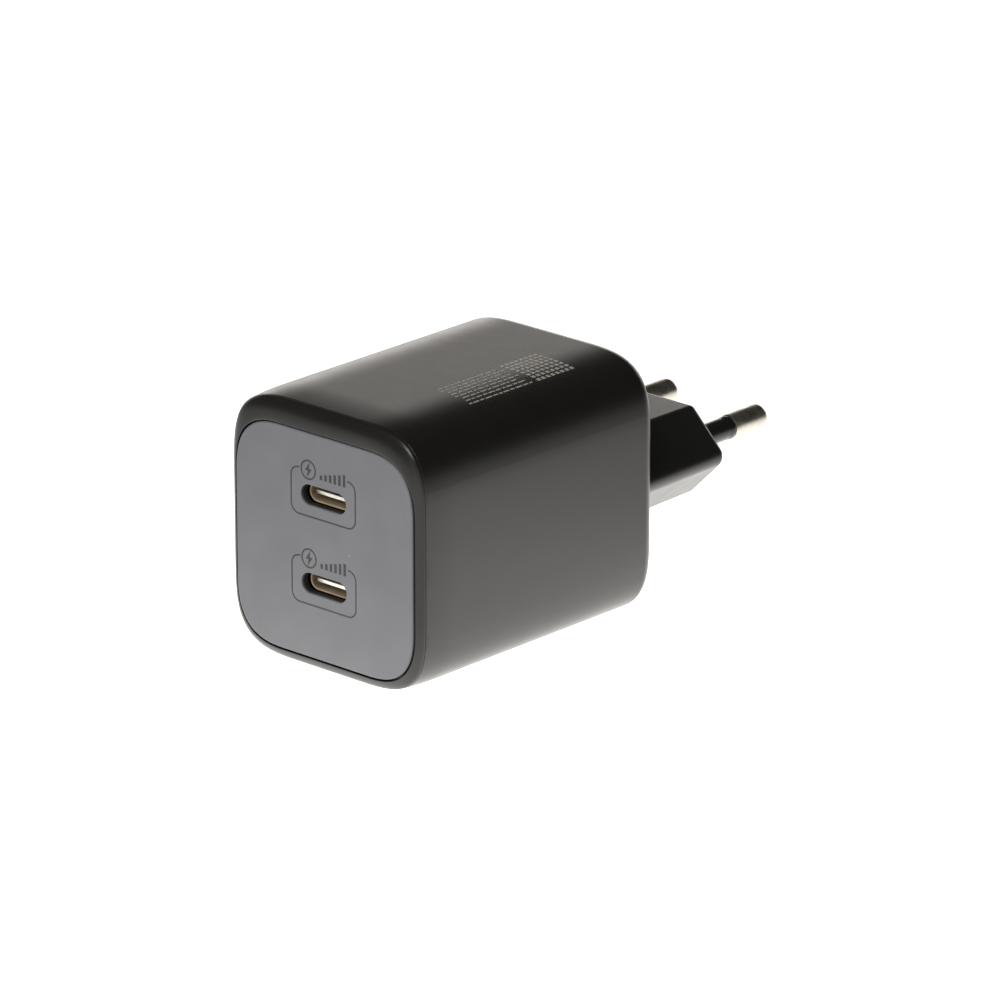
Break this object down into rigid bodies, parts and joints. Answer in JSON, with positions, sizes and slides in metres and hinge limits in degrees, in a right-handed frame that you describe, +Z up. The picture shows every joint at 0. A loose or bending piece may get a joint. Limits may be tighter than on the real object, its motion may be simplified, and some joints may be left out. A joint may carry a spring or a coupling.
{
  "type": "usb wall charger",
  "caption": "Black rounded-square USB-C wall charger with a grey port face and a fixed round-pin Europlug, with its inner boards and components.",
  "frame": {"origin": "middle of the overall length and width, on the resting face", "axes": "+Y from the port face to the plug pins, +Z up from the resting face, +X to the right seen from the ports"},
  "size_m": [0.0394, 0.0887, 0.0416],
  "materials": {
    "black_plastic": "satin black polycarbonate",
    "grey_plastic": "fine matt cool grey",
    "pin_insulation": "smooth black",
    "nickel_plate": "bright nickel plating on brass",
    "port_steel": "drawn steel, warm nickel plating",
    "spring_bronze": "rolled bronze",
    "copper_wire": "enamelled copper",
    "board_green": "solder mask on glass epoxy",
    "ferrite": "sintered dark grey",
    "chip_epoxy": "fine matt black moulding",
    "inner_plastic": "plain dark moulding",
    "tape_yellow": "polyester tape",
    "capacitor_film": "dark shrink sleeve",
    "capacitor_metal": "drawn aluminium can",
    "box_yellow": "filled epoxy box",
    "disc_blue": "dipped epoxy",
    "disc_green": "dipped epoxy",
    "thermal_rubber": "soft filled silicone",
    "spreader_sheet": "rolled sheet",
    "insulation_film": "thin film",
    "panel_print": "thin dark print on the port panel",
    "label_print": "thin pale print on the casing",
    "contact_gold": "gold-plated contacts"
  },
  "bodies": {
    "root": {"housing_shell": "black_plastic", "front_bezel": "black_plastic", "front_panel": "grey_plastic", "plug_block": "black_plastic", "pin_left": "nickel_plate", "pin_right": "nickel_plate", "pin_sleeve_left": "pin_insulation", "pin_sleeve_right": "pin_insulation", "contact_spring_left": "spring_bronze", "contact_spring_right": "spring_bronze", "usb_shell_upper": "port_steel", "usb_shell_lower": "port_steel", "usb_insulator_upper": "chip_epoxy", "usb_insulator_lower": "chip_epoxy", "port_controller_upper": "chip_epoxy", "port_controller_lower": "chip_epoxy", "port_bracket": "inner_plastic", "main_board": "board_green", "control_board": "board_green", "port_board": "board_green", "board_link": "chip_epoxy", "transformer_core_upper": "ferrite", "transformer_core_lower": "ferrite", "transformer_bobbin": "inner_plastic", "transformer_winding": "copper_wire", "transformer_tape": "tape_yellow", "choke_core": "ferrite", "choke_winding_left": "copper_wire", "choke_winding_right": "copper_wire", "bulk_capacitor_1": "capacitor_film", "bulk_capacitor_2": "capacitor_film", "bulk_capacitor_3": "capacitor_film", "output_capacitor_1": "capacitor_metal", "output_capacitor_2": "capacitor_metal", "x_capacitor": "box_yellow", "y_capacitor": "disc_blue", "fuse": "chip_epoxy", "inrush_thermistor": "disc_green", "bridge_rectifier": "chip_epoxy", "synchronous_rectifier": "chip_epoxy", "gan_power_chip": "chip_epoxy", "buck_inductor": "ferrite", "thermal_pad": "thermal_rubber", "heat_spreader": "spreader_sheet", "insulation_tube": "insulation_film"}
  },
  "joints": []
}
